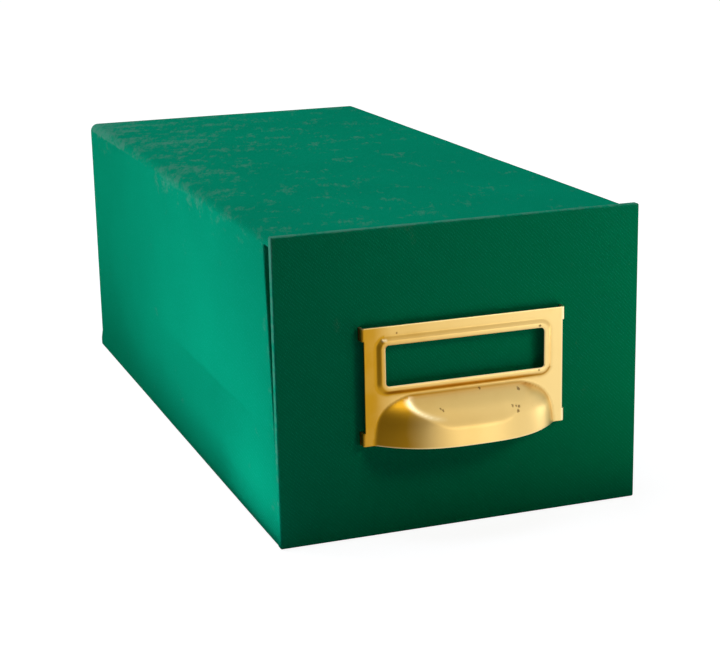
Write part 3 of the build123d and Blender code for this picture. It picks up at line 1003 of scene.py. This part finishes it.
def build_pull(sizes):
    """The brass label pull in one sheet: plate, window frame, finger cup and tabs."""
    bm = pull_plate(sizes)
    dimple = Vector((DIMPLE_X, 0.0, window_centre(sizes) + DIMPLE_RISE))
    half_window, half_height = in_mm(sizes.window_width) / 2, in_mm(sizes.window_height) / 2
    dull, bright = (bm.verts.layers.float.new(name) for name in ("dull", "bright"))
    for vert in bm.verts:
        x, z = vert.co.x, vert.co.z
        up = z - PULL_LOW.z
        cup = cup_depth(x, up, sizes)
        lean = (cup_depth(x + PROBE, up, sizes) - cup_depth(x - PROBE, up, sizes)) / (2 * PROBE)
        ridge = frame_height(x, z, sizes)
        dent = 0.30 * near(math.hypot(x - dimple.x, z - dimple.z), 0.9)
        ripple = 0.05 * hills(Vector((x, 0.0, z)), 16.0, 4.0)
        vert.co.y = PLATE_FRONT - cup - ridge - dent - ripple + 0.05
        distance = window_distance(x, z, sizes)
        middle = (in_mm(sizes.frame_width) + in_mm(sizes.frame_flat)) / 2
        side = max(-x / half_window, (window_centre(sizes) - z) / half_height) > 1.0
        # Painted shade in the groove round the frame: full on the window's left and lower sides, a
        # quarter of that on the others.
        hollow = near(distance - middle - 0.2, 1.5) * (1.0 if side else 0.25)
        # Painted shade on faces that lean left, and a painted shade that grows towards the plate's
        # left.
        facing_left, shaded = painted_shade(x, lean)
        # Painted shade round the cup's foot, where it meets the plate.
        foot = 0.6 * near(cup - 0.5, 1.0) * (cup > 0)
        vert[dull] = min(max(hollow, facing_left, foot) + shaded, 1.0)
        # Painted highlight: a short dash beside the dimple.
        dash_x = max(abs(x - dimple.x - 0.4) - 0.4, 0.0)
        spot = DIMPLE_SHINE * near(math.hypot(dash_x, z - dimple.z), 0.7)
        # Painted highlight along the window's edge: full on its left and lower sides, weaker on the
        # others.
        wear_and_painted_highlight = near(distance, 0.55) if side else 0.4 * near(distance, 0.4)
        # Painted highlight along the plate's top and right edges.
        border = 0.7 * near(min(PULL_TOP - z, PULL_SIDE - x), 0.45)
        wall, roof = cup_sheets(x, up, sizes)
        # Painted highlight along the left part of the cup's crease.
        crease = near(wall - roof, 1.3) * min(max(-x - 8.5, 0.0) / 5.0, 1.0) * (cup > 0.8)
        # Painted highlight along the cup's lip.
        lip = near(up, 0.4) * (cup > 0.5)
        vert[bright] = max(wear_and_painted_highlight, border, spot, CREASE_SHINE * crease, lip)
    for side in (-1, 1):
        for span in tab_spans(sizes):
            bend_tab(bm, side, span, sizes)
    bmesh.ops.remove_doubles(bm, verts=bm.verts, dist=0.001)
    brass = material_named("satin_brass", brass_material)
    piece = add_piece(bm, "brass_label_pull", "drawer", brass, ["label_pull"])
    thicken(piece, sizes.sheet)
    rim = piece.modifiers.new("rim", "BEVEL")
    rim.width = sizes.rim
    rim.segments = 2
    rim.limit_method = "ANGLE"
    rim.angle_limit = math.radians(50)
    even_shading(piece)


# Camera, floor and light ----------------------------------------------------------------

CAMERA_PLACE = Vector((-189.98, -556.35, 187.75))
CAMERA_AZIMUTH, CAMERA_ELEVATION, CAMERA_ROLL = -19.754, 15.018, -1.182
CAMERA_LENS, CAMERA_SENSOR = 89.445, 36.0


def add_camera():
    """The camera at the photograph's place."""
    azimuth, elevation, roll = (math.radians(angle) for angle in
                                (CAMERA_AZIMUTH, CAMERA_ELEVATION, CAMERA_ROLL))
    back = Vector((math.sin(azimuth) * math.cos(elevation),
                   -math.cos(azimuth) * math.cos(elevation), math.sin(elevation)))
    across = UP.cross(back).normalized()
    upward = back.cross(across)
    camera_x = across * math.cos(roll) + upward * math.sin(roll)
    camera_y = upward * math.cos(roll) - across * math.sin(roll)
    data = bpy.data.cameras.new("camera")
    data.lens, data.sensor_width = CAMERA_LENS, CAMERA_SENSOR
    data.clip_start, data.clip_end = 0.01, 20.0
    camera = bpy.data.objects.new("camera", data)
    turned = Matrix((camera_x, camera_y, back)).transposed().to_4x4()
    camera.matrix_world = Matrix.Translation(CAMERA_PLACE * MM) @ turned
    bpy.context.scene.collection.objects.link(camera)
    bpy.context.scene.camera = camera


def add_lamp(name, place, target, size, power, tint=(1.0, 1.0, 1.0)):
    """A soft square lamp that points at a target, both in millimetres."""
    data = bpy.data.lights.new(name, "AREA")
    data.shape, data.size, data.energy, data.color = "SQUARE", size * MM, power, tint
    lamp = bpy.data.objects.new(name, data)
    lamp.location = Vector(place) * MM
    lamp.rotation_euler = (Vector(target) - Vector(place)).to_track_quat("-Z", "Y").to_euler()
    bpy.context.scene.collection.objects.link(lamp)
    return lamp


def add_pointed_lamps(sizes):
    """The lamps that point at the object. Only the first two light every part of a finish."""
    add_lamp("top_lamp", (-120, 60, 800), (0, 20, 80), 500, sizes.top_power, (0.9, 1.0, 1.25))
    add_lamp("back_lamp", (-500, 300, 250), (-54, 40, 45), 250, sizes.back_power)
    front = add_lamp("front_lamp", (290, -410, 310), (10, -112, 50), 120, sizes.front_power,
                     (1.1, 1.0, 0.75))
    front.visible_glossy = False
    shine = add_lamp("left_shine", (-205, -180, 500), (-15, -118, 42), 150, sizes.shine_power)
    glint = add_lamp("front_shine", (215, -700, 70), (0, -120, 38), 220, sizes.glint_power)
    shine.visible_diffuse = glint.visible_diffuse = False


COOL, PLAIN = (0.9, 1.0, 1.28), (1.0, 1.0, 1.0)
FLOOR_LAMPS = (
    # name, middle, size, brightness, colour, and what it lights
    ("right_card", (255, -330), 320, 1.75, (1.0, 1.0, 1.12), "diffuse"),
    ("front_card", (196, -302), 320, 0.98, (1.2, 1.0, 0.45), "diffuse"),
    ("left_card", (-145, -60), 110, 4.1, COOL, "diffuse"),
    ("left_near_card", (-88, -90), 54, 2.6, COOL, "diffuse"),
    ("left_wide_card", (-168, -30), 185, 1.6, COOL, "diffuse"),
    ("left_far_card", (-275, 50), 270, 2.0, COOL, "diffuse"),
    ("back_card", (20, 260), 240, 1.2, PLAIN, "diffuse"),
    ("right_side_card", (210, 40), 220, 1.2, PLAIN, "diffuse"),
    ("right_shine", (255, -330), 320, 0.9, PLAIN, "glossy"),
    ("side_shine", (330, -60), 220, 3.0, PLAIN, "glossy"),
)


def add_floor_lamps(sizes):
    """Flat lamps on the floor that shine up, unseen. Each lights one part of a finish alone."""
    for name, place, size, brightness, tint, lit in FLOOR_LAMPS:
        power = sizes.bounce * brightness * math.pi * (size * MM) ** 2
        card = add_lamp(name, (*place, 1.0), (*place, 100.0), size, power, tint)
        card.visible_camera = False
        card.visible_diffuse = lit == "diffuse"
        card.visible_glossy = lit == "glossy"


def seen_directly(paint):
    """1 for rays from the camera, or by way of metal or glass."""
    node = paint.add("ShaderNodeLightPath").socket.node
    rays = [Value(paint, node.outputs[name]) for name in
            ("Is Camera Ray", "Is Glossy Ray", "Is Transmission Ray")]
    return rays[0].most(rays[1]).most(rays[2])


SHADOW_SHARE = 0.60         # how much of the floor's colour shows, and so of the shadow
GLOW_NEAR, GLOW_GAIN = 0.92, 0.10       # brightness by the object, and what it gains further out
GLOW_START, GLOW_END = 150.0, 420.0     # distances between which it gains that


def floor_material(sizes):
    """A grey floor that looks white where it is seen, and keeps the object's shadow."""
    paint = new_paint("floor")
    plain = paint.add("ShaderNodeBsdfDiffuse", None, {"Color": sizes.floor_colour})
    grey = tuple(SHADOW_SHARE * value for value in sizes.floor_colour)
    dim = paint.add("ShaderNodeBsdfDiffuse", None, {"Color": grey})
    x, y, _ = paint.axes(paint.place())
    distance = (x ** 2.0 + y ** 2.0) ** 0.5
    away = distance.eased(GLOW_START, GLOW_END) * GLOW_GAIN + GLOW_NEAR
    glow = paint.add("ShaderNodeEmission", None, {"Color": paint.vector(away, away, away)})
    white = paint.add("ShaderNodeAddShader", None, {0: dim, 1: glow})
    paint.add_output(paint.add("ShaderNodeMixShader", None,
                               {0: seen_directly(paint), 1: plain, 2: white}))
    return paint.owner


FLOOR_RADIUS, FLOOR_DROP = 6000.0, 0.02


def add_floor(sizes):
    """The floor, which is not part of the object."""
    bm = bmesh.new()
    bmesh.ops.create_circle(bm, cap_ends=True, segments=64, radius=FLOOR_RADIUS * MM)
    mesh = bpy.data.meshes.new("floor")
    bm.to_mesh(mesh)
    bm.free()
    mesh.transform(Matrix.Translation((0.0, 0.0, -FLOOR_DROP * MM)))
    mesh.materials.append(floor_material(sizes))
    floor = bpy.data.objects.new("floor", mesh)
    bpy.context.scene.collection.objects.link(floor)


DARK_CARD_PLACE = Vector((-78.0, -340.0, 65.0))
DARK_CARD_HEIGHT, DARK_CARD_LENGTH, DARK_CARD_GREY = 130.0, 620.0, 0.24


def add_dark_card():
    """A dark card at the left of the front, which only shiny surfaces see."""
    bm = bmesh.new()
    bmesh.ops.create_grid(bm, x_segments=1, y_segments=1, size=0.5)
    mesh = bpy.data.meshes.new("dark_card")
    bm.to_mesh(mesh)
    bm.free()
    size = Matrix.Diagonal((DARK_CARD_HEIGHT * MM, DARK_CARD_LENGTH * MM, 1.0, 1.0))
    upright = Matrix.Rotation(math.pi / 2, 4, "Y")
    mesh.transform(Matrix.Translation(DARK_CARD_PLACE * MM) @ upright @ size)
    paint = new_paint("dark_card")
    paint.add_output(paint.add("ShaderNodeEmission", None, {"Color": (DARK_CARD_GREY,) * 3}))
    mesh.materials.append(paint.owner)
    card = bpy.data.objects.new("dark_card", mesh)
    bpy.context.scene.collection.objects.link(card)
    card.visible_camera = card.visible_diffuse = card.visible_shadow = False
    card.visible_transmission = card.visible_volume_scatter = False


def set_world(sizes):
    """White where it is seen, and an even ambient light on the object."""
    world = bpy.data.worlds.new("studio")
    bpy.context.scene.world = world
    paint = Paint(world)
    seen = seen_directly(paint)
    strength = seen * (1.0 - sizes.ambient) + sizes.ambient
    light = paint.add("ShaderNodeBackground", None,
                      {"Color": (1.0, 1.0, 1.0), "Strength": strength})
    paint.add_output(light, "ShaderNodeOutputWorld")


# Operators ------------------------------------------------------------------------------

class CARDDRAWER_OT_case_cover(bpy.types.Operator):
    """Builds the cloth round the case"""
    bl_idname = "card_drawer.case_cover"
    bl_label = "Case Cover"

    def execute(self, context):
        build_case_cover(context.scene.card_drawer_case)
        return {"FINISHED"}


class CARDDRAWER_OT_pasted_sheets(bpy.types.Operator):
    """Builds the cloth sheets pasted on the case's base and back"""
    bl_idname = "card_drawer.pasted_sheets"
    bl_label = "Base and Back Sheets"

    def execute(self, context):
        sizes = context.scene.card_drawer_case
        build_pasted_sheet("base_cover", "case_base_sheet", BACK, -UP, sizes)
        build_pasted_sheet("back_cover", "case_back_sheet", UP, BACK, sizes)
        return {"FINISHED"}


class CARDDRAWER_OT_front_cover(bpy.types.Operator):
    """Builds the cloth over the drawer front"""
    bl_idname = "card_drawer.front_cover"
    bl_label = "Drawer Front Cover"

    def execute(self, context):
        build_front_cover(context.scene.card_drawer_front, context.scene.card_drawer_pull)
        return {"FINISHED"}


class CARDDRAWER_OT_pull(bpy.types.Operator):
    """Builds the stamped brass label pull"""
    bl_idname = "card_drawer.pull"
    bl_label = "Label Pull"

    def execute(self, context):
        build_pull(context.scene.card_drawer_pull)
        return {"FINISHED"}


class CARDDRAWER_OT_finish_boards(bpy.types.Operator):
    """Gives the boards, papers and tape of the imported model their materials"""
    bl_idname = "card_drawer.finish_boards"
    bl_label = "Boards and Papers"

    def execute(self, context):
        materials = other_materials()
        for part in frame["record"]["subparts"]:
            material = materials.get(part["material_slot"])
            if material:
                for slot in frame["nodes"][part["node"]].material_slots:
                    slot.material = material
        return {"FINISHED"}


class CARDDRAWER_OT_stage(bpy.types.Operator):
    """Sets up the camera, floor and lights"""
    bl_idname = "card_drawer.stage"
    bl_label = "Stage"

    def execute(self, context):
        sizes = context.scene.card_drawer_stage
        add_camera()
        add_floor(sizes)
        add_dark_card()
        set_world(sizes)
        context.scene.view_settings.view_transform = "Standard"
        add_pointed_lamps(sizes)
        add_floor_lamps(sizes)
        return {"FINISHED"}


class CARDDRAWER_PT_panel(bpy.types.Panel):
    """The card drawer's pieces and their sizes"""
    bl_idname = "CARDDRAWER_PT_panel"
    bl_label = "Index Card Drawer"
    bl_space_type = "VIEW_3D"
    bl_region_type = "UI"
    bl_category = "Card Drawer"

    def draw(self, context):
        for operator, group in STEPS:
            box = self.layout.box()
            box.operator(operator.bl_idname)
            sizes = getattr(context.scene, group)
            for name in sizes.bl_rna.properties.keys():
                if name not in ("rna_type", "name"):
                    box.prop(sizes, name)


STEPS = (
    (CARDDRAWER_OT_case_cover, "card_drawer_case"),
    (CARDDRAWER_OT_pasted_sheets, "card_drawer_case"),
    (CARDDRAWER_OT_front_cover, "card_drawer_front"),
    (CARDDRAWER_OT_pull, "card_drawer_pull"),
    (CARDDRAWER_OT_finish_boards, "card_drawer_finishes"),
    (CARDDRAWER_OT_stage, "card_drawer_stage"),
)
GROUPS = {
    "card_drawer_case": CaseCoverSizes,
    "card_drawer_front": FrontCoverSizes,
    "card_drawer_pull": PullSizes,
    "card_drawer_finishes": Finishes,
    "card_drawer_stage": StageSizes,
}


def register():
    for name, group in GROUPS.items():
        bpy.utils.register_class(group)
        setattr(bpy.types.Scene, name, PointerProperty(type=group))
    for operator, _ in STEPS:
        bpy.utils.register_class(operator)
    bpy.utils.register_class(CARDDRAWER_PT_panel)


def unregister():
    bpy.utils.unregister_class(CARDDRAWER_PT_panel)
    for operator, _ in reversed(STEPS):
        bpy.utils.unregister_class(operator)
    for name, group in reversed(GROUPS.items()):
        delattr(bpy.types.Scene, name)
        bpy.utils.unregister_class(group)


def main():
    """Builds everything in order."""
    register()
    for operator, _ in STEPS:
        group, name = operator.bl_idname.split(".")
        getattr(getattr(bpy.ops, group), name)()


if __name__ == "__main__":
    main()
